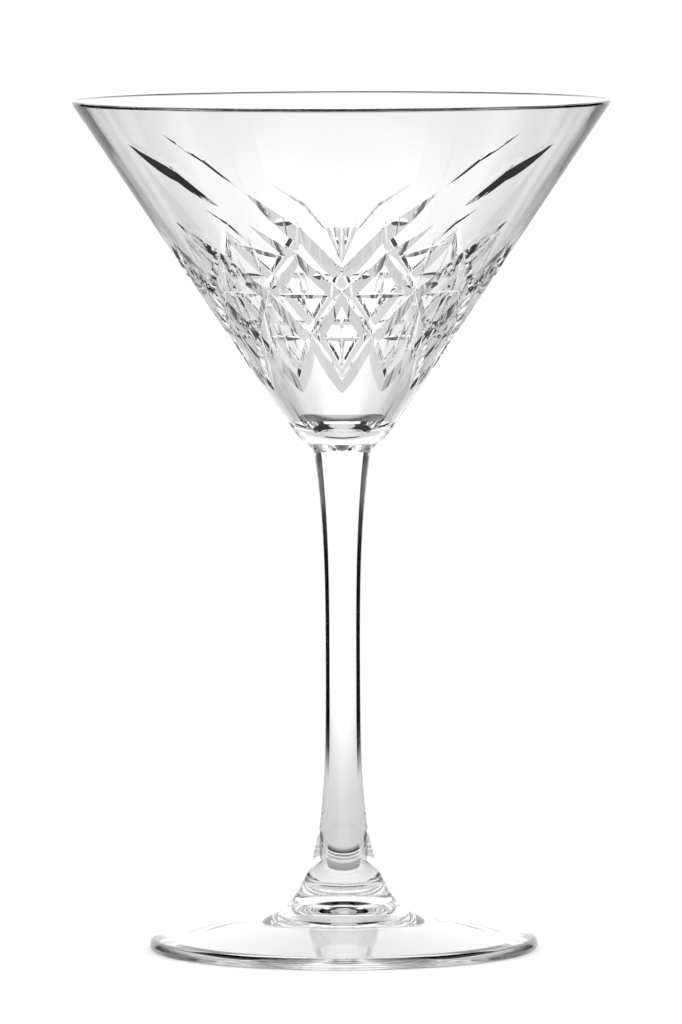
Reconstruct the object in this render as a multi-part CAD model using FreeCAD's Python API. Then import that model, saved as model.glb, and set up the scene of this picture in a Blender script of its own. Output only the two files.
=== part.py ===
"""Martini glass: a pressed bowl with a cut-style relief, a slender stem and a round foot.

Millimetres. +Z is up and the origin is the centre of the foot's resting plane.
The middle of the relief faces -Y. Three solids meet face to face at two fused joints.
"""
import FreeCAD, Part
import math
import os

Vec = FreeCAD.Vector

# Heights of the pieces, one above the other
foot_height = 11.0          # resting plane to the stem's lower joint
stem_length = 89.5          # joint to joint
bowl_height = 72.0          # stem's upper joint to the top of the rim

# Foot
foot_radius = 39.45
foot_edge = 2.7             # thickness of the round outer edge
foot_joint_radius = 10.0    # outside, where foot and stem meet
foot_ring_width = 3.0       # flat ring that the glass stands on
foot_hollow = 5.0           # rise of the underside inside the ring
dimple_radius = 12.0        # dome pressed into the middle of the underside
dimple_height = 9.0         # its top, above the resting plane

# Stem
neck_radius = 5.7           # outside, where stem and bowl meet
waist_radius = 3.66         # at the thinnest place
waist_height = 46.5         # of the thinnest place, above the lower joint

# Bowl
rim_radius = 54.5
rim_wall = 1.1
bowl_wall = 2.8             # at the lower end of the cone
collar_height = 1.3         # short collar above the joint
collar_flare = 0.25         # how much wider the collar's top is than the joint
base_height = 6.5           # joint to the lower end of the cone
base_radius = 10.95         # outside, at the lower end of the cone
well_radius = 8.7           # edge of the shallow floor of the inside
well_depth = 2.6            # of the floor's middle, below that edge

# Relief: grooves and pits with flat facets, pressed into the outside of the cone
columns = 12                # columns of diamonds around the bowl
groove_depth = 0.45
groove_flat = 0.22          # width of the flat bottom of a groove
star_depth = 0.26
star_half_width = 0.7
fan_depth = 0.4
fan_half_width = 0.8
pit_flat = 0.12             # floor of a pit, as a share of its outline
low_slope = 18.0            # wide facet that looks up, in degrees from the cone
high_slope = 36.0           # narrow facet that looks down
line_slope = 42.0           # facet of a fine line that looks up
tool_height = 1.6           # how far the cutting solids stand out of the glass, or nearly
run_out = 3.0               # how far a cut goes on past its tip, outside the glass

# Rows of the lattice, as shares of the cone's height
row_tip = 0.146             # lowest points of the lower diamonds
row_low = 0.286             # side corners of the lower diamonds
row_mid = 0.423             # tops of the lower diamonds
row_top = 0.545             # tops of the upper diamonds
row_leaf = 0.637            # tips of the short leaves above them

bowl_base = foot_height + stem_length
rim_height = bowl_base + bowl_height
cone_base = bowl_base + base_height
cone_height = rim_height - cone_base
column_turn = 360.0 / columns
half_column = column_turn / 2.0

# The outside of the cone runs tangent into the round bead of the rim
bead_radius = rim_wall / 2.0
bead_centre = Vec(rim_radius - bead_radius, 0, rim_height - bead_radius)
cone_low = Vec(base_radius, 0, cone_base)
bead_reach = bead_centre - cone_low
half_angle = math.atan2(bead_reach.x, bead_reach.z) + math.asin(bead_radius / bead_reach.Length)


def radial(turn):
    """Unit vector away from the axis. Turn 0 is -Y, and turns in degrees run towards +X."""
    angle = math.radians(turn)
    return Vec(math.sin(angle), -math.cos(angle), 0)


def cone_normal(turn):
    return radial(turn) * math.cos(half_angle) - Vec(0, 0, math.sin(half_angle))


def on_cone(node, depth=0.0):
    """Point at a node (turn, share of the cone's height), on its outside or below it by depth."""
    turn, share = node
    rise = cone_height * share
    outside = radial(turn) * (base_radius + rise * math.tan(half_angle)) + Vec(0, 0, cone_base + rise)
    return outside - cone_normal(turn) * depth


def meeting_point(planes):
    """Where three planes meet. A plane is (point, normal)."""
    first, second, third = [normal for point, normal in planes]
    reach = [point.dot(normal) for point, normal in planes]
    total = second.cross(third) * reach[0] + third.cross(first) * reach[1] + first.cross(second) * reach[2]
    return total / first.dot(second.cross(third))


def solid_of(faces):
    """Closed solid from the corners of its flat faces."""
    solid = Part.Solid(Part.Shell([Part.Face(Part.makePolygon(corners + corners[:1])) for corners in faces]))
    if solid.Volume < 0:
        solid.reverse()
    return solid


def bar(ring, ends):
    """Solid inside the side planes, which are in order around it, and the two end planes."""
    near, far = [[meeting_point([plane, ring[i - 1], end]) for i, plane in enumerate(ring)] for end in ends]
    following = list(range(1, len(ring))) + [0]
    sides = [[near[i], near[k], far[k], far[i]] for i, k in enumerate(following)]
    return solid_of(sides + [near, far])


def cut_frame(start, end, normal):
    """Unit vectors along a cut, across it up the bowl, and out of the glass."""
    along = (end - start).normalize()
    across = normal.cross(along).normalize()
    if across.z < 0:
        across = -across
    out = along.cross(across)
    if out.dot(normal) < 0:
        out = -out
    return along, across, out


def facet(point, along, across, out, slope):
    """Plane through point that holds along, and rises out of the glass by slope as it goes across."""
    angle = math.radians(slope)
    return point, along.cross(across * math.cos(angle) + out * math.sin(angle))


def meridian(turn):
    return Vec(0, 0, 0), radial(turn + 90)


def v_bar(start, end, slope, near_turn, far_turn):
    """Groove with a narrow flat bottom between two points (turn, share, depth).

    It ends on the meridian planes at the two turns. Without a turn it runs out of the glass.
    """
    first, last = on_cone(start[:2], start[2]), on_cone(end[:2], end[2])
    along, across, out = cut_frame(first, last, cone_normal((start[0] + end[0]) / 2))
    shift = across * (groove_flat / 2)
    ring = [facet(first - shift, along, -across, out, slope),
            (first, out),
            facet(first + shift, along, across, out, high_slope),
            (first + out * tool_height, out)]
    near, far = (first - along * run_out, along), (last + along * run_out, along)
    if near_turn is not None:
        near = meridian(near_turn)
    if far_turn is not None:
        far = meridian(far_turn)
    return bar(ring, [near, far])


def groove(start, end):
    """Groove between two nodes of the lattice, mitred where it meets its neighbours."""
    return v_bar((*start, groove_depth), (*end, groove_depth), low_slope, start[0], end[0])


def leaf(start, tip):
    """Groove that starts at a node of the lattice and runs out at its tip."""
    return v_bar((*start, groove_depth), (*tip, 0.0), low_slope, start[0], None)


def kite(start, tip, widest, half_width, depth):
    """Slender pit with four facets round a small floor, deepest and widest at the node widest."""
    normal = cone_normal(widest[0])
    centre = on_cone(widest)
    first, last = on_cone(start), on_cone(tip)
    along, across, out = cut_frame(first, last, normal)
    outline = [first, centre + across * half_width, last, centre - across * half_width]
    deepest = centre - normal * (depth / (1 - pit_flat))
    high, low = [[deepest + (corner - deepest) * scale for corner in outline] for scale in (2.5, pit_flat)]
    peak = centre + normal * tool_height
    floor_middle = (low[0] + low[1] + low[2] + low[3]) * 0.25
    faces = []
    for i in range(4):
        faces.append([high[i], high[i - 1], peak])
        faces.append([high[i], high[i - 1], low[i - 1], low[i]])
        faces.append([low[i], low[i - 1], floor_middle])
    return solid_of(faces)


def star_arm(start, tip, centre):
    return kite(start, tip, centre, star_half_width, star_depth)


def fan_petal(start, tip, centre):
    return kite(start, tip, centre, fan_half_width, fan_depth)


def lattice_rounds():
    """Crossing grooves that leave two rows of diamonds, and a four-pointed star in each diamond.

    A round is a list of cutting solids that don't touch each other, one per column.
    """
    middles = [column * column_turn for column in range(columns)]
    rounds = []
    for side in (-half_column, half_column):
        for middle_row, side_row in ((row_tip, row_low), (row_mid, row_low), (row_mid, row_top)):
            rounds.append([groove((turn, middle_row), (turn + side, side_row)) for turn in middles])
    stars = ((0.0, 0.282, 10.5, 0.092, 0.077), (half_column, 0.418, 11.0, 0.085, 0.075))
    for shift, row, reach, below, above in stars:
        centres = [turn + shift for turn in middles]
        rounds.append([star_arm((turn - reach, row), (turn + reach, row), (turn, row)) for turn in centres])
        rounds.append([star_arm((turn, row - below), (turn, row + above), (turn, row)) for turn in centres])
    return rounds


# The feathers and the fine lines above them, each through three points (turn, share, depth).
# The first number is the slope of the facet that looks up, the second the turn of a mitred start.
feathers = (
    (low_slope, 0.0, (0.5, 0.503, 0.20), (13.0, 0.626, 0.75), (26.5, 0.745, -0.05)),
    (low_slope, None, (35.5, 0.690, -0.05), (47.0, 0.798, 0.60), (59.0, 0.878, -0.05)),
    (line_slope, None, (3.7, 0.614, 0.0), (10.0, 0.704, 0.32), (19.5, 0.782, -0.05)),
    (line_slope, None, (26.5, 0.742, -0.05), (35.3, 0.838, 0.32), (44.5, 0.922, -0.05)),
    (line_slope, None, (29.0, 0.570, 0.0), (35.5, 0.640, 0.25), (42.0, 0.690, -0.05)),
)


def crown_rounds():
    """The leaves, feathers, half stars and fan above the front of the lattice, mirrored about x = 0."""
    cuts = [
        (leaf, [(half_column, row_top), (28.0, row_leaf)]),
        (leaf, [(half_column + column_turn, row_top), (58.0, row_leaf)]),
        (star_arm, [(18.0, 0.535), (37.0, 0.582), (30.0, 0.563)]),
        (star_arm, [(30.0, 0.455), (30.0, 0.600), (30.0, 0.557)]),
        (fan_petal, [(0.0, 0.520), (1.65, 0.657), (1.45, 0.630)]),
        (fan_petal, [(0.0, 0.520), (4.05, 0.668), (3.5, 0.630)]),
    ]
    rounds = []
    for side in (-1, 1):
        for cut, nodes in cuts:
            rounds.append([cut(*[(side * turn, share) for turn, share in nodes])])
        for slope, start_turn, *points in feathers:
            start, middle, tip = [(side * turn, share, depth) for turn, share, depth in points]
            rounds.append([v_bar(start, middle, slope, start_turn, middle[0])])
            rounds.append([v_bar(middle, tip, slope, middle[0], None)])
    return rounds


def turned(edges):
    """Solid of revolution about the axis from the edges of its closed half outline."""
    return Part.Face(Part.Wire(edges)).revolve(Vec(0, 0, 0), Vec(0, 0, 1), 360)


def curve_through(points):
    curve = Part.BSplineCurve()
    curve.interpolate(points)
    return curve.toShape()


def make_bowl():
    """Cone shell on a thick round base, with the relief cut into its outside."""
    uphill = Vec(math.sin(half_angle), 0, math.cos(half_angle))
    outward = Vec(math.cos(half_angle), 0, -math.sin(half_angle))
    axis_low = Vec(0, 0, bowl_base)
    neck = Vec(neck_radius, 0, bowl_base)
    collar_top = Vec(neck_radius + collar_flare, 0, bowl_base + collar_height)

    # The base is an arc from the collar that runs tangent into the cone
    chord = cone_low - collar_top
    base_arc = chord.dot(chord) / (2 * chord.dot(outward))
    arc_centre = cone_low - outward * base_arc
    base_middle = arc_centre + ((collar_top + cone_low) * 0.5 - arc_centre).normalize() * base_arc

    outer_rim = bead_centre + outward * bead_radius
    inner_rim = bead_centre - outward * bead_radius
    rim_top = bead_centre + uphill * bead_radius

    # The inside is a cone that ends at the edge of a shallow round floor
    inner_low = cone_low - outward * bowl_wall
    inner_run = (inner_rim - inner_low).normalize()
    inner_apex = inner_low - inner_run * (inner_low.x / inner_run.x)
    well_edge = inner_apex + inner_run * (well_radius / inner_run.x)
    well_bottom = Vec(0, 0, well_edge.z - well_depth)
    well_sphere = (well_radius ** 2 + well_depth ** 2) / (2 * well_depth)
    well_centre = well_bottom + Vec(0, 0, well_sphere)
    well_middle = well_centre + ((well_edge + well_bottom) * 0.5 - well_centre).normalize() * well_sphere

    bowl = turned([
        Part.makeLine(axis_low, neck),
        Part.makeLine(neck, collar_top),
        Part.Arc(collar_top, base_middle, cone_low).toShape(),
        Part.makeLine(cone_low, outer_rim),
        Part.Arc(outer_rim, rim_top, inner_rim).toShape(),
        Part.makeLine(inner_rim, well_edge),
        Part.Arc(well_edge, well_middle, well_bottom).toShape(),
        Part.makeLine(well_bottom, axis_low),
    ])
    for tools in lattice_rounds() + crown_rounds():
        bowl = bowl.cut(tools)
    return bowl


def stem_radius(height):
    """Outside radius at a height above the lower joint: it flares both ways from the waist."""
    if height >= waist_height:
        rise = (height - waist_height) / (stem_length - waist_height)
        return waist_radius + (neck_radius - waist_radius) * rise ** 3
    drop = (waist_height - height) / waist_height
    return waist_radius + (foot_joint_radius - waist_radius) * (0.64 * drop ** 3.5 + 0.36 * drop ** 7)


def make_stem():
    steps = 16
    heights = [stem_length * step / steps for step in range(steps + 1)]
    side = [Vec(stem_radius(height), 0, foot_height + height) for height in heights]
    low, high = Vec(0, 0, foot_height), Vec(0, 0, bowl_base)
    return turned([
        Part.makeLine(low, side[0]),
        curve_through(side),
        Part.makeLine(side[-1], high),
        Part.makeLine(high, low),
    ])


def foot_top(share):
    """Point of the foot's upper side, from its edge (share 0) to the joint (share 1)."""
    reach = foot_radius - foot_edge / 2 - foot_joint_radius
    rise = foot_height - foot_edge
    height = foot_edge + rise * (0.56 * share + 0.44 * share ** 10)
    return Vec(foot_joint_radius + reach * (1 - share), 0, height)


def make_foot():
    """Shallow cone with a round edge, standing on a flat ring, with a dome pressed in from below."""
    edge_radius = foot_edge / 2
    edge_centre = Vec(foot_radius - edge_radius, 0, edge_radius)
    edge_side = edge_centre + Vec(edge_radius, 0, 0)
    edge_low = edge_centre - Vec(0, 0, edge_radius)
    ring_inner = edge_low - Vec(foot_ring_width, 0, 0)
    dimple_edge = Vec(dimple_radius, 0, foot_hollow)
    dimple_top = Vec(0, 0, dimple_height)
    dimple_rise = dimple_height - foot_hollow
    dome_radius = (dimple_radius ** 2 + dimple_rise ** 2) / (2 * dimple_rise)
    dome_centre = dimple_top - Vec(0, 0, dome_radius)
    dome_middle = dome_centre + ((dimple_edge + dimple_top) * 0.5 - dome_centre).normalize() * dome_radius
    joint_centre = Vec(0, 0, foot_height)
    steps = 12
    top = [foot_top(step / steps) for step in range(steps + 1)]
    return turned([
        Part.makeLine(dimple_top, joint_centre),
        Part.makeLine(joint_centre, top[-1]),
        curve_through(top),
        Part.Arc(top[0], edge_side, edge_low).toShape(),
        Part.makeLine(edge_low, ring_inner),
        Part.makeLine(ring_inner, dimple_edge),
        Part.Arc(dimple_edge, dome_middle, dimple_top).toShape(),
    ])


os.makedirs("parts", exist_ok=True)
for name, make in (("bowl", make_bowl), ("stem", make_stem), ("foot", make_foot)):
    shape = make()
    shape.exportStep(f"parts/{name}.step")
    print(name, "valid", shape.isValid(), "solids", len(shape.Solids), "volume", round(shape.Volume, 1))
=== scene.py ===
"""The looks of the martini glass: clear pressed glass in a bright studio.

Metres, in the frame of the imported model. +Z is up and the middle of the relief faces -Y.
"""
import math

import bpy
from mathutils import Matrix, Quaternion, Vector


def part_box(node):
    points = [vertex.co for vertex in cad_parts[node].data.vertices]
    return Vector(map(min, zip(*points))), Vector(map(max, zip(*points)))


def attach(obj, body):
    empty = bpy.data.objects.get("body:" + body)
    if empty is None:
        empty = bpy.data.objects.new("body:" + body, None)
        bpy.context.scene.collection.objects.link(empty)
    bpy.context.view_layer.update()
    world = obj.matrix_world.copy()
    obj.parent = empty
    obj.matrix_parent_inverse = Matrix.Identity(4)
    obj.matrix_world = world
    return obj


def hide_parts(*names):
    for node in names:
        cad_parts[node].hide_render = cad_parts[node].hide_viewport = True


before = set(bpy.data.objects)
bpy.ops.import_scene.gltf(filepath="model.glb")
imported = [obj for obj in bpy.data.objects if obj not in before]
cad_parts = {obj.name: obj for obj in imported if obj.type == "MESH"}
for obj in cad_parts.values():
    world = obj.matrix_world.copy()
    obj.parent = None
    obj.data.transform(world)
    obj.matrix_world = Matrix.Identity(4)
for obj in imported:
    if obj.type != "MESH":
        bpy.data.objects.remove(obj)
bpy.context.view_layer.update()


MM = 0.001

# Sizes that the frame gives
foot_low, foot_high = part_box("foot")
stem_low, stem_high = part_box("stem")
bowl_low, bowl_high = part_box("bowl")
foot_height = foot_high.z
bowl_base = bowl_low.z
rim_height = bowl_high.z
foot_radius = foot_high.x
rim_radius = bowl_high.x
foot_joint_radius = stem_high.x

# Sizes of the glass inside those
segments = 720              # flat sides of each round piece
neck_radius = 5.7 * MM
waist_radius = 3.66 * MM
waist_height = 46.5 * MM
foot_edge = 2.7 * MM
foot_ring_width = 3.0 * MM
foot_hollow = 5.0 * MM
dimple_radius = 12.0 * MM
dimple_height = 9.0 * MM
rim_wall = 1.1 * MM
bowl_wall = 2.8 * MM
collar_height = 1.3 * MM
collar_flare = 0.25 * MM
base_height = 6.5 * MM
base_radius = 10.95 * MM
well_radius = 8.7 * MM
well_depth = 2.6 * MM

# Relief
columns = 12
groove_depth = 0.45 * MM
groove_flat = 0.22 * MM
star_depth = 0.26 * MM
star_half_width = 0.7 * MM
fan_depth = 0.4 * MM
fan_half_width = 0.8 * MM
low_slope = 18.0            # wide facet that looks up, in degrees from the cone
high_slope = 36.0           # narrow facet that looks down
line_slope = 42.0           # facet of a fine line that looks up
pit_flat = 0.12             # floor of a pit, as a share of its outline
pit_reach = 2.5             # how far a pit's facets go on out of the glass, times its outline
tool_height = 1.6 * MM      # how far the cutting solids stand out of the glass, or nearly
run_out = 3.0 * MM          # how far a cut goes on past its tip, outside the glass
overlap = 0.01 * MM         # how far the parts of one groove reach into each other

# Rows of the lattice, as shares of the cone's height
row_tip = 0.146
row_low = 0.286
row_mid = 0.423
row_top = 0.545
row_leaf = 0.637

cone_base = bowl_base + base_height
cone_height = rim_height - cone_base
column_turn = 360.0 / columns
half_column = column_turn / 2.0
bead_radius = rim_wall / 2.0
bead_centre = Vector((rim_radius - bead_radius, 0, rim_height - bead_radius))
cone_low = Vector((base_radius, 0, cone_base))
bead_reach = bead_centre - cone_low
half_angle = math.atan2(bead_reach.x, bead_reach.z) + math.asin(bead_radius / bead_reach.length)


# Glass

glass_index = 1.52
wave_height = 0.02 * MM     # of the faint waves that pressing leaves on the surface
wave_scale, tint_scale, polish_scale = 110.0, 18.0, 60.0
dullest_polish = 0.012


def new_material(name):
    material = bpy.data.materials.new(name)
    material.use_nodes = True
    material.node_tree.nodes.clear()
    return material, material.node_tree


def add_noise(tree, position, scale, detail):
    noise = tree.nodes.new("ShaderNodeTexNoise")
    noise.inputs["Scale"].default_value = scale
    noise.inputs["Detail"].default_value = detail
    tree.links.new(position, noise.inputs["Vector"])
    return noise.outputs["Fac"]


def spread(tree, value, low, high):
    """A noise value, which is mostly between 0.3 and 0.7, carried to between low and high."""
    node = tree.nodes.new("ShaderNodeMapRange")
    tree.links.new(value, node.inputs["Value"])
    for name, number in (("From Min", 0.3), ("From Max", 0.7), ("To Min", low), ("To Max", high)):
        node.inputs[name].default_value = number
    return node.outputs["Result"]


def clear_glass():
    """Polished soda-lime glass: faint waves from the mould, and the least change of tint and polish."""
    material, tree = new_material("clear_glass")
    output = tree.nodes.new("ShaderNodeOutputMaterial")
    glass = tree.nodes.new("ShaderNodeBsdfPrincipled")
    glass.inputs["Transmission Weight"].default_value = 1.0
    glass.inputs["IOR"].default_value = glass_index
    coordinates = tree.nodes.new("ShaderNodeTexCoord")
    position = coordinates.outputs["Object"]
    tint = tree.nodes.new("ShaderNodeMix")
    tint.data_type = "RGBA"
    tint.inputs["A"].default_value = (0.988, 0.994, 0.992, 1.0)
    tint.inputs["B"].default_value = (0.997, 0.998, 0.998, 1.0)
    tree.links.new(spread(tree, add_noise(tree, position, tint_scale, 1.0), 0.0, 1.0), tint.inputs["Factor"])
    tree.links.new(tint.outputs["Result"], glass.inputs["Base Color"])
    polish = spread(tree, add_noise(tree, position, polish_scale, 2.0), 0.0, dullest_polish)
    tree.links.new(polish, glass.inputs["Roughness"])
    waves = tree.nodes.new("ShaderNodeBump")
    waves.inputs["Strength"].default_value = 1.0
    waves.inputs["Distance"].default_value = wave_height
    tree.links.new(add_noise(tree, position, wave_scale, 0.0), waves.inputs["Height"])
    tree.links.new(waves.outputs["Normal"], glass.inputs["Normal"])
    tree.links.new(glass.outputs["BSDF"], output.inputs["Surface"])
    return material


def open_joint():
    """The hidden discs where two pieces are fused: there is no surface in the glass there."""
    material, tree = new_material("fused_joint")
    output = tree.nodes.new("ShaderNodeOutputMaterial")
    clear = tree.nodes.new("ShaderNodeBsdfTransparent")
    tree.links.new(clear.outputs["BSDF"], output.inputs["Surface"])
    return material


glass_material = clear_glass()
joint_material = open_joint()


# Shapes

def arc(centre, start, end, steps):
    """Points on a circle about centre, from start to end the short way, both included."""
    first, last = start - centre, end - centre
    first_angle = math.atan2(first.z, first.x)
    sweep = math.atan2(last.z, last.x) - first_angle
    sweep = (sweep + math.pi) % (2 * math.pi) - math.pi
    radius = first.length
    points = []
    for step in range(steps + 1):
        angle = first_angle + sweep * step / steps
        points.append(centre + Vector((radius * math.cos(angle), 0, radius * math.sin(angle))))
    return points


def lathe(name, outline, joint_heights):
    """Solid of revolution from an outline that starts and ends on the axis."""
    vertices, rings = [], []
    for point in outline:
        if abs(point.x) < 1e-9:
            rings.append([len(vertices)])
            vertices.append((0, 0, point.z))
            continue
        rings.append(list(range(len(vertices), len(vertices) + segments)))
        for k in range(segments):
            angle = 2 * math.pi * k / segments
            vertices.append((point.x * math.sin(angle), -point.x * math.cos(angle), point.z))
    faces = []
    for low, high in zip(rings, rings[1:]):
        for k in range(segments):
            following = (k + 1) % segments
            corners = [low[k % len(low)], low[following % len(low)],
                       high[following % len(high)], high[k % len(high)]]
            faces.append(list(dict.fromkeys(corners)))
    mesh = bpy.data.meshes.new(name)
    mesh.from_pydata(vertices, [], faces)
    mesh.materials.append(glass_material)
    mesh.materials.append(joint_material)
    for face in mesh.polygons:
        flat = abs(face.normal.z) > 0.999
        if flat and any(abs(face.center.z - height) < 1e-6 for height in joint_heights):
            face.material_index = 1
    piece = bpy.data.objects.new(name, mesh)
    bpy.context.scene.collection.objects.link(piece)
    return piece


sharp_angle = 6.0           # degrees between two faces, above which their edge is a sharp one


def finish_shading(mesh):
    mesh.shade_smooth()
    mesh.set_sharp_from_angle(angle=math.radians(sharp_angle))


def stem_radius(height):
    """Outside radius at a height above the lower joint: it flares both ways from the waist."""
    if height >= waist_height:
        rise = (height - waist_height) / (bowl_base - foot_height - waist_height)
        return waist_radius + (neck_radius - waist_radius) * rise ** 3
    drop = (waist_height - height) / waist_height
    return waist_radius + (foot_joint_radius - waist_radius) * (0.64 * drop ** 3.5 + 0.36 * drop ** 7)


def make_stem():
    steps = 90
    length = bowl_base - foot_height
    heights = [length * step / steps for step in range(steps + 1)]
    side = [Vector((stem_radius(height), 0, foot_height + height)) for height in heights]
    outline = [Vector((0, 0, foot_height))] + side + [Vector((0, 0, bowl_base))]
    return lathe("stem_glass", outline, (foot_height, bowl_base))


def foot_top(share):
    """Point of the foot's upper side, from its edge (share 0) to the joint (share 1)."""
    reach = foot_radius - foot_edge / 2 - foot_joint_radius
    height = foot_edge + (foot_height - foot_edge) * (0.56 * share + 0.44 * share ** 10)
    return Vector((foot_joint_radius + reach * (1 - share), 0, height))


def make_foot():
    """Shallow cone with a round edge and a hollow underside, with a dome pressed in from below."""
    edge_radius = foot_edge / 2
    edge_centre = Vector((foot_radius - edge_radius, 0, edge_radius))
    edge_low = edge_centre - Vector((0, 0, edge_radius))
    edge_side = edge_centre + Vector((edge_radius, 0, 0))
    edge_high = edge_centre + Vector((0, 0, edge_radius))
    ring_inner = edge_low - Vector((foot_ring_width, 0, 0))
    dimple_edge = Vector((dimple_radius, 0, foot_hollow))
    dimple_top = Vector((0, 0, dimple_height))
    rise = dimple_height - foot_hollow
    dome_radius = (dimple_radius ** 2 + rise ** 2) / (2 * rise)
    dome_centre = dimple_top - Vector((0, 0, dome_radius))
    steps = 60
    top = [foot_top(step / steps) for step in range(steps + 1)]
    outline = arc(dome_centre, dimple_top, dimple_edge, 30) + [ring_inner]
    outline += arc(edge_centre, edge_low, edge_side, 18)[:-1] + arc(edge_centre, edge_side, edge_high, 18)
    outline += top[1:] + [Vector((0, 0, foot_height))]
    outline[0].x = 0.0
    return lathe("foot_glass", outline, (foot_height,))


# Relief cuts

def radial(turn):
    """Unit vector away from the axis. Turn 0 is -Y, and turns in degrees run towards +X."""
    angle = math.radians(turn)
    return Vector((math.sin(angle), -math.cos(angle), 0))


def cone_normal(turn):
    return radial(turn) * math.cos(half_angle) - Vector((0, 0, math.sin(half_angle)))


def on_cone(node, depth=0.0):
    """Point at a node (turn, share of the cone's height), on its outside or below it by depth."""
    turn, share = node
    rise = cone_height * share
    outside = radial(turn) * (base_radius + rise * math.tan(half_angle)) + Vector((0, 0, cone_base + rise))
    return outside - cone_normal(turn) * depth


def meeting_point(planes):
    """Where three planes meet. A plane is (point, normal)."""
    first, second, third = [normal for point, normal in planes]
    reach = [point.dot(normal) for point, normal in planes]
    total = second.cross(third) * reach[0] + third.cross(first) * reach[1] + first.cross(second) * reach[2]
    return total / first.dot(second.cross(third))


def closed(points, faces):
    """Points and faces of a closed convex solid, with the faces turned outwards."""
    middle = sum(points, Vector()) / len(points)
    turned_faces = []
    for face in faces:
        a, b, c = [points[i] for i in face[:3]]
        outward = (b - a).cross(c - a).dot(a - middle) > 0
        turned_faces.append(face if outward else face[::-1])
    return points, turned_faces


def bar(ring, ends):
    """Solid inside the side planes, which are in order around it, and the two end planes."""
    points = [meeting_point([plane, ring[i - 1], end]) for end in ends for i, plane in enumerate(ring)]
    count = len(ring)
    faces = [[i, (i + 1) % count, (i + 1) % count + count, i + count] for i in range(count)]
    faces += [list(range(count)), list(range(count, 2 * count))]
    return closed(points, faces)


def cut_frame(start, end, normal):
    """Unit vectors along a cut, across it up the bowl, and out of the glass."""
    along = (end - start).normalized()
    across = normal.cross(along).normalized()
    if across.z < 0:
        across = -across
    out = along.cross(across)
    if out.dot(normal) < 0:
        out = -out
    return along, across, out


def facet(point, along, across, out, slope):
    """Plane through point that holds along, and rises out of the glass by slope as it goes across."""
    angle = math.radians(slope)
    return point, along.cross(across * math.cos(angle) + out * math.sin(angle)).normalized()


def v_bar(start, end, slope, near_turn, far_turn):
    """Groove with a narrow flat bottom between two points (turn, share, depth).

    It ends on the meridian planes at the two turns. Without a turn it runs out of the glass.
    """
    first, last = on_cone(start[:2], start[2]), on_cone(end[:2], end[2])
    along, across, out = cut_frame(first, last, cone_normal((start[0] + end[0]) / 2))
    shift = across * (groove_flat / 2)
    ring = [facet(first - shift, along, -across, out, slope),
            (first, out),
            facet(first + shift, along, across, out, high_slope),
            (first + out * tool_height, out)]
    near, far = (first - along * run_out, along), (last + along * run_out, along)
    if near_turn is not None:
        near = (radial(near_turn) * MM - along * overlap, radial(near_turn + 90))
    if far_turn is not None:
        far = (radial(far_turn) * MM + along * overlap, radial(far_turn + 90))
    return bar(ring, [near, far])


def groove(start, end):
    """Groove between two nodes of the lattice, mitred where it meets its neighbours."""
    return v_bar((*start, groove_depth), (*end, groove_depth), low_slope, start[0], end[0])


def leaf(start, tip):
    """Groove that starts at a node of the lattice and runs out at its tip."""
    return v_bar((*start, groove_depth), (*tip, 0.0), low_slope, start[0], None)


def kite(start, tip, widest, half_width, depth):
    """Slender pit with four facets round a small floor, deepest and widest at the node widest."""
    normal = cone_normal(widest[0])
    centre = on_cone(widest)
    first, last = on_cone(start), on_cone(tip)
    along, across, out = cut_frame(first, last, normal)
    outline = [first, centre + across * half_width, last, centre - across * half_width]
    deepest = centre - normal * (depth / (1 - pit_flat))
    points = [deepest + (corner - deepest) * scale for scale in (pit_reach, pit_flat) for corner in outline]
    points += [centre + normal * tool_height, sum(points[4:8], Vector()) / 4]
    faces = []
    for i in range(4):
        k = (i + 1) % 4
        faces += [[i, k, 8], [i, k, k + 4, i + 4], [i + 4, k + 4, 9]]
    return closed(points, faces)


def star_arm(start, tip, centre):
    return kite(start, tip, centre, star_half_width, star_depth)


def fan_petal(start, tip, centre):
    return kite(start, tip, centre, fan_half_width, fan_depth)


def lattice_rounds():
    """Crossing grooves that leave two rows of diamonds, and a four-pointed star in each diamond.

    A round is a list of cutting solids that don't touch each other, one per column.
    """
    middles = [column * column_turn for column in range(columns)]
    rounds = []
    for side in (-half_column, half_column):
        for middle_row, side_row in ((row_tip, row_low), (row_mid, row_low), (row_mid, row_top)):
            rounds.append([groove((turn, middle_row), (turn + side, side_row)) for turn in middles])
    # Each row of stars: turn of its first centre, its row, and the reach sideways, down and up
    stars = ((0.0, 0.282, 10.5, 0.092, 0.077), (half_column, 0.418, 11.0, 0.085, 0.075))
    for shift, row, reach, below, above in stars:
        centres = [turn + shift for turn in middles]
        rounds.append([star_arm((turn - reach, row), (turn + reach, row), (turn, row)) for turn in centres])
        rounds.append([star_arm((turn, row - below), (turn, row + above), (turn, row)) for turn in centres])
    return rounds


# The feathers and the fine lines above them, each through three points (turn, share, depth in mm).
# The first number is the slope of the facet that looks up, the second the turn of a mitred start.
feathers = (
    (low_slope, 0.0, (0.5, 0.503, 0.20), (13.0, 0.626, 0.75), (26.5, 0.745, -0.05)),
    (low_slope, None, (35.5, 0.690, -0.05), (47.0, 0.798, 0.60), (59.0, 0.878, -0.05)),
    (line_slope, None, (3.7, 0.614, 0.0), (10.0, 0.704, 0.32), (19.5, 0.782, -0.05)),
    (line_slope, None, (26.5, 0.742, -0.05), (35.3, 0.838, 0.32), (44.5, 0.922, -0.05)),
    (line_slope, None, (29.0, 0.570, 0.0), (35.5, 0.640, 0.25), (42.0, 0.690, -0.05)),
)


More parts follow.
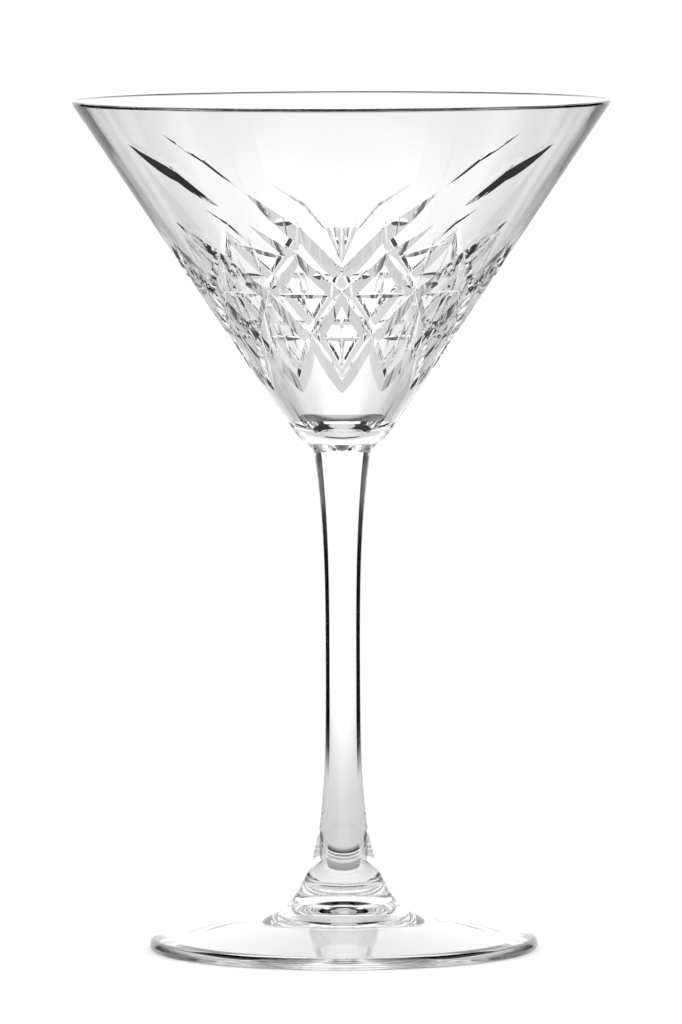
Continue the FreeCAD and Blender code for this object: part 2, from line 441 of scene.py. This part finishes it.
def crown_rounds():
    """The leaves, feathers, half stars and fan above the front of the lattice, mirrored about x = 0."""
    cuts = [
        (leaf, [(half_column, row_top), (28.0, row_leaf)]),
        (leaf, [(half_column + column_turn, row_top), (58.0, row_leaf)]),
        (star_arm, [(18.0, 0.535), (37.0, 0.582), (30.0, 0.563)]),
        (star_arm, [(30.0, 0.455), (30.0, 0.600), (30.0, 0.557)]),
        (fan_petal, [(0.0, 0.520), (1.65, 0.657), (1.45, 0.630)]),
        (fan_petal, [(0.0, 0.520), (4.05, 0.668), (3.5, 0.630)]),
    ]
    rounds = []
    for side in (-1, 1):
        for cut, nodes in cuts:
            rounds.append([cut(*[(side * turn, share) for turn, share in nodes])])
        for slope, start_turn, *points in feathers:
            start, middle, tip = [(side * turn, share, depth * MM) for turn, share, depth in points]
            rounds.append([v_bar(start, middle, slope, start_turn, middle[0])])
            rounds.append([v_bar(middle, tip, slope, middle[0], None)])
    return rounds


def tool_object(name, solids):
    points, faces = [], []
    for solid_points, solid_faces in solids:
        shift = len(points)
        points += solid_points
        faces += [[i + shift for i in face] for face in solid_faces]
    mesh = bpy.data.meshes.new(name)
    mesh.from_pydata(points, [], faces)
    mesh.materials.append(glass_material)
    tool = bpy.data.objects.new(name, mesh)
    bpy.context.scene.collection.objects.link(tool)
    return tool


def make_bowl():
    uphill = Vector((math.sin(half_angle), 0, math.cos(half_angle)))
    outward = Vector((math.cos(half_angle), 0, -math.sin(half_angle)))
    neck = Vector((neck_radius, 0, bowl_base))
    collar_top = Vector((neck_radius + collar_flare, 0, bowl_base + collar_height))
    chord = cone_low - collar_top
    base_arc = chord.dot(chord) / (2 * chord.dot(outward))
    arc_centre = cone_low - outward * base_arc
    outer_rim = bead_centre + outward * bead_radius
    inner_rim = bead_centre - outward * bead_radius
    rim_top = bead_centre + uphill * bead_radius
    inner_low = cone_low - outward * bowl_wall
    inner_run = (inner_rim - inner_low).normalized()
    inner_apex = inner_low - inner_run * (inner_low.x / inner_run.x)
    well_edge = inner_apex + inner_run * (well_radius / inner_run.x)
    well_bottom = Vector((0, 0, well_edge.z - well_depth))
    well_sphere = (well_radius ** 2 + well_depth ** 2) / (2 * well_depth)
    well_centre = well_bottom + Vector((0, 0, well_sphere))
    outline = [Vector((0, 0, bowl_base)), neck]
    outline += arc(arc_centre, collar_top, cone_low, 24)
    outline += arc(bead_centre, outer_rim, rim_top, 18)[:-1] + arc(bead_centre, rim_top, inner_rim, 18)
    outline += arc(well_centre, well_edge, well_bottom, 30)
    outline[-1].x = 0.0
    bowl = lathe("bowl_glass", outline, (bowl_base,))
    tools = [tool_object(f"cut_{i}", solids) for i, solids in enumerate(lattice_rounds() + crown_rounds())]
    for tool in tools:
        cut = bowl.modifiers.new(tool.name, "BOOLEAN")
        cut.operation = "DIFFERENCE"
        cut.solver = "MANIFOLD"
        cut.object = tool
    depsgraph = bpy.context.evaluated_depsgraph_get()
    mesh = bpy.data.meshes.new_from_object(bowl.evaluated_get(depsgraph))
    bowl.modifiers.clear()
    bowl.data = mesh
    for tool in tools:
        bpy.data.objects.remove(tool)
    return bowl


for node, make in (("bowl", make_bowl), ("stem", make_stem), ("foot", make_foot)):
    piece = make()
    finish_shading(piece.data)
    print(piece.name, len(piece.data.vertices), len(piece.data.polygons))
    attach(piece, "root")
    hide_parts(node)
    piece.visible_shadow = False


# Studio

def by_degrees(stops, span, shift=0.0):
    """Ramp stops given in degrees, carried to shares of the whole span."""
    return [((angle + shift) / span, value) for angle, value in stops]


studio_strength = 1.25

# The studio's light by direction, in degrees. Across: 0 is straight behind the glass, 180 is the
# camera's side, and left and right are alike. Dark stops are the flags beside the glass.
around = by_degrees([(0, 1.0), (14, 1.0), (24, 0.95), (36, 0.85), (38, 0.0), (63, 0.0), (66, 0.6),
                     (90, 0.8), (154, 0.85), (157, 0.05), (167, 0.05), (170, 0.9), (180, 1.0)], 180)
around_low = by_degrees([(0, 0.0), (25, 0.0), (28, 0.9), (41, 0.9), (44, 0.0), (78, 0.0), (82, 1.0),
                         (180, 1.0)], 180)
around_mirrored = by_degrees([(0, 1.0), (26, 0.95), (32, 0.0), (150, 0.0), (160, 0.8), (180, 1.0)], 180)

# From straight down to straight up: where the level flags and the low flags stand, and the light
level_band = by_degrees([(-90, 0.0), (-10, 0.0), (-7, 1.0), (14, 1.0), (18, 0.0), (90, 0.0)], 180, 90)
low_band = by_degrees([(-90, 0.0), (-48, 0.0), (-46, 1.0), (-25, 1.0), (-23, 0.0), (90, 0.0)], 180, 90)
upward = by_degrees([(-90, 0.75), (-50, 0.62), (-24, 0.50), (-16, 0.54), (-11, 0.58), (-8, 0.66),
                     (-6.2, 0.78), (-5, 1.0), (38, 1.0), (46, 0.0), (68, 0.0), (74, 1.0), (90, 1.0)], 180, 90)


def make_floor():
    """Plain pale floor. Seen through or in the glass there is only the studio's light."""
    material, tree = new_material("pale_floor")
    output = tree.nodes.new("ShaderNodeOutputMaterial")
    paint = tree.nodes.new("ShaderNodeBsdfPrincipled")
    paint.inputs["Base Color"].default_value = (0.9, 0.9, 0.9, 1)
    paint.inputs["Roughness"].default_value = 0.9
    tree.links.new(paint.outputs["BSDF"], output.inputs["Surface"])
    mesh = bpy.data.meshes.new("floor")
    half = 6.0
    corners = [(-half, -half, 0), (half, -half, 0), (half, half, 0), (-half, half, 0)]
    mesh.from_pydata(corners, [], [[0, 1, 2, 3]])
    mesh.materials.append(material)
    floor = bpy.data.objects.new("floor", mesh)
    bpy.context.scene.collection.objects.link(floor)
    floor.visible_transmission = False
    floor.visible_glossy = False


def ramp(tree, stops, position):
    node = tree.nodes.new("ShaderNodeValToRGB")
    tree.links.new(position, node.inputs[0])
    elements = node.color_ramp.elements
    while len(elements) > 1:
        elements.remove(elements[-1])
    elements[0].position = stops[0][0]
    elements[0].color = (stops[0][1],) * 3 + (1,)
    for place, value in stops[1:]:
        elements.new(place).color = (value,) * 3 + (1,)
    return node.outputs[0]


def math_node(tree, operation, *values):
    node = tree.nodes.new("ShaderNodeMath")
    node.operation = operation
    for i, value in enumerate(values):
        if isinstance(value, (int, float)):
            node.inputs[i].default_value = value
        else:
            tree.links.new(value, node.inputs[i])
    return node.outputs[0]


def blend(tree, share, first, second):
    node = tree.nodes.new("ShaderNodeMix")
    tree.links.new(share, node.inputs[0])
    for socket, value in ((node.inputs[2], first), (node.inputs[3], second)):
        if isinstance(value, float):
            socket.default_value = value
        else:
            tree.links.new(value, socket)
    return node.outputs[0]


def make_world():
    """The studio's light, which differs by the kind of ray.

    Seen straight on, and where it lights the floor, it is even and white. Seen through the glass it
    has flags and is dimmer low down, and mirrored in the glass its level flags are wider.
    """
    world = bpy.data.worlds.new("studio")
    bpy.context.scene.world = world
    world.use_nodes = True
    tree = world.node_tree
    tree.nodes.clear()
    output = tree.nodes.new("ShaderNodeOutputWorld")
    coordinates = tree.nodes.new("ShaderNodeTexCoord")
    split = tree.nodes.new("ShaderNodeSeparateXYZ")
    tree.links.new(coordinates.outputs["Generated"], split.inputs[0])
    x, y, z = split.outputs
    turn = math_node(tree, "ABSOLUTE", math_node(tree, "ARCTAN2", x, y))
    turn_share = math_node(tree, "DIVIDE", turn, math.pi)
    lift = math_node(tree, "ARCSINE", z)
    lift_share = math_node(tree, "ADD", math_node(tree, "DIVIDE", lift, math.pi), 0.5)
    path = tree.nodes.new("ShaderNodeLightPath")
    level = blend(tree, path.outputs["Is Reflection Ray"],
                  ramp(tree, around, turn_share), ramp(tree, around_mirrored, turn_share))
    flags = blend(tree, ramp(tree, level_band, lift_share), 1.0, level)
    low = blend(tree, ramp(tree, low_band, lift_share), 1.0, ramp(tree, around_low, turn_share))
    flags = math_node(tree, "MULTIPLY", flags, low)
    light = math_node(tree, "MULTIPLY", flags, ramp(tree, upward, lift_share))
    through = tree.nodes.new("ShaderNodeBackground")
    tree.links.new(light, through.inputs["Color"])
    through.inputs["Strength"].default_value = studio_strength
    backdrop = tree.nodes.new("ShaderNodeBackground")
    backdrop.inputs["Color"].default_value = (1, 1, 1, 1)
    backdrop.inputs["Strength"].default_value = studio_strength
    mix = tree.nodes.new("ShaderNodeMixShader")
    plain = math_node(tree, "MAXIMUM", path.outputs["Is Camera Ray"], path.outputs["Is Diffuse Ray"])
    tree.links.new(plain, mix.inputs[0])
    tree.links.new(through.outputs[0], mix.inputs[1])
    tree.links.new(backdrop.outputs[0], mix.inputs[2])
    tree.links.new(mix.outputs[0], output.inputs["Surface"])


camera_place = Vector((0, -2.240, 0.2475))
camera_target = Vector((0, 0, 0.089))
camera_lens = 389.9         # mm, on a sensor 36 mm wide
camera_roll = -0.18         # degrees
camera_shift = -0.0014


def make_camera():
    data = bpy.data.cameras.new("camera")
    data.lens = camera_lens
    data.sensor_width = 36.0
    data.clip_end = 100.0
    camera = bpy.data.objects.new("camera", data)
    bpy.context.scene.collection.objects.link(camera)
    camera.location = camera_place
    turn = (camera_target - camera_place).to_track_quat("-Z", "Y")
    camera.rotation_euler = (turn @ Quaternion((0, 0, 1), math.radians(camera_roll))).to_euler()
    data.shift_x = camera_shift
    bpy.context.scene.camera = camera


make_floor()
make_world()
make_camera()
bpy.context.scene.view_settings.view_transform = "Standard"
# Light runs a long way inside a thin glass wall, from side to side, before it comes out
bpy.context.scene.cycles.max_bounces = 96
bpy.context.scene.cycles.transmission_bounces = 96
bpy.context.scene.cycles.glossy_bounces = 12
bpy.context.scene.cycles.transparent_max_bounces = 32
